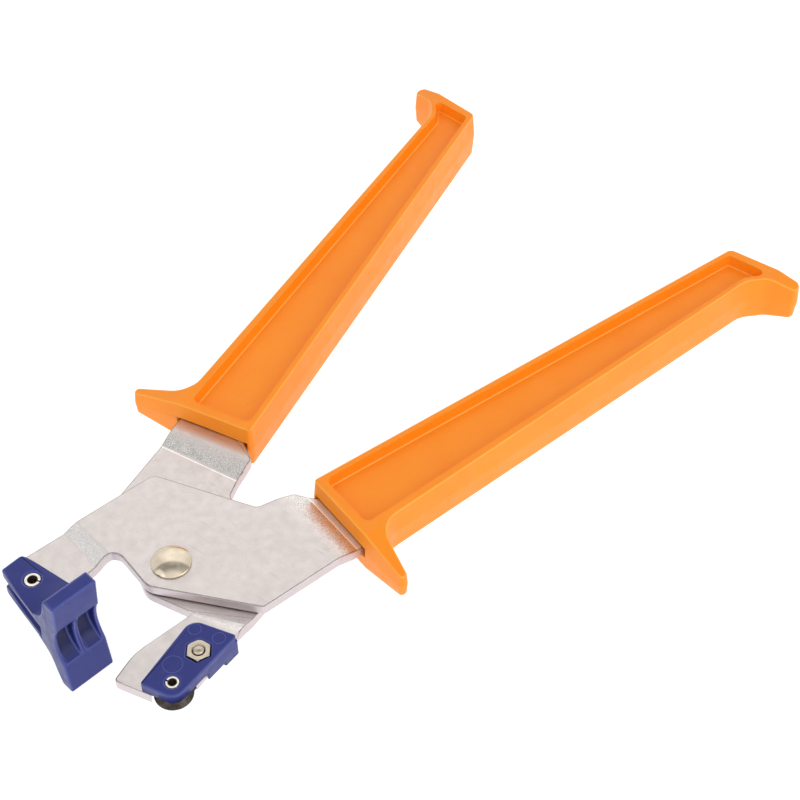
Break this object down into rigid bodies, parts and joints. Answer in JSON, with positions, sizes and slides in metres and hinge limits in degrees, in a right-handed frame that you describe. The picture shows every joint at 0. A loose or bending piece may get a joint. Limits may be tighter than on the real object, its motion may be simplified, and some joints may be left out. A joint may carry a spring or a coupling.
{
  "type": "tile nippers",
  "caption": "Hand pliers for cutting tile: crossed steel levers with orange grips, a scoring wheel in a clamped holder on one jaw and a swivelling V-shaped breaker pad on the other.",
  "frame": {"origin": "under the middle of the bounding box, level with the lowest point of the breaker pad", "axes": "+X from the jaws to the tails of the handles, +Y towards the cutter lever's handle, +Z along the pivot rivet towards the breaker lever's plate"},
  "size_m": [0.204, 0.131, 0.0318],
  "materials": {
    "orange_plastic": "satin moulded plastic",
    "blue_plastic": "satin moulded plastic",
    "plated_steel": "matte zinc plate",
    "nickel_steel": "bright nickel plate",
    "cutting_wheel": "dark ground carbide"
  },
  "bodies": {
    "breaker_lever": {"breaker_plate": "plated_steel", "breaker_handle": "orange_plastic", "pivot_rivet": "nickel_steel", "pad_pin": "nickel_steel"},
    "cutter_lever": {"cutter_plate": "plated_steel", "cutter_handle": "orange_plastic", "wheel_holder": "blue_plastic", "holder_screw": "nickel_steel", "holder_nut": "nickel_steel", "wheel_pin": "nickel_steel"},
    "pad": {"breaker_pad": "blue_plastic"},
    "wheel": {"scoring_wheel": "cutting_wheel"}
  },
  "joints": [
    {"name": "pivot", "type": "hinge", "parent": "breaker_lever", "child": "cutter_lever", "pos_m": [-0.07002, -0.00025, 0.0159], "axis": [0, 0, 1], "range_deg": [-22, 2]},
    {"name": "pad_swivel", "type": "hinge", "parent": "breaker_lever", "child": "pad", "pos_m": [-0.09412, 0.01985, 0.0159], "axis": [0, 0, 1], "range_deg": [-8, 8]},
    {"name": "wheel_spin", "type": "hinge", "parent": "cutter_lever", "child": "wheel", "pos_m": [-0.09352, -0.02395, 0.0159], "axis": [0, 0, 1], "continuous": true}
  ]
}
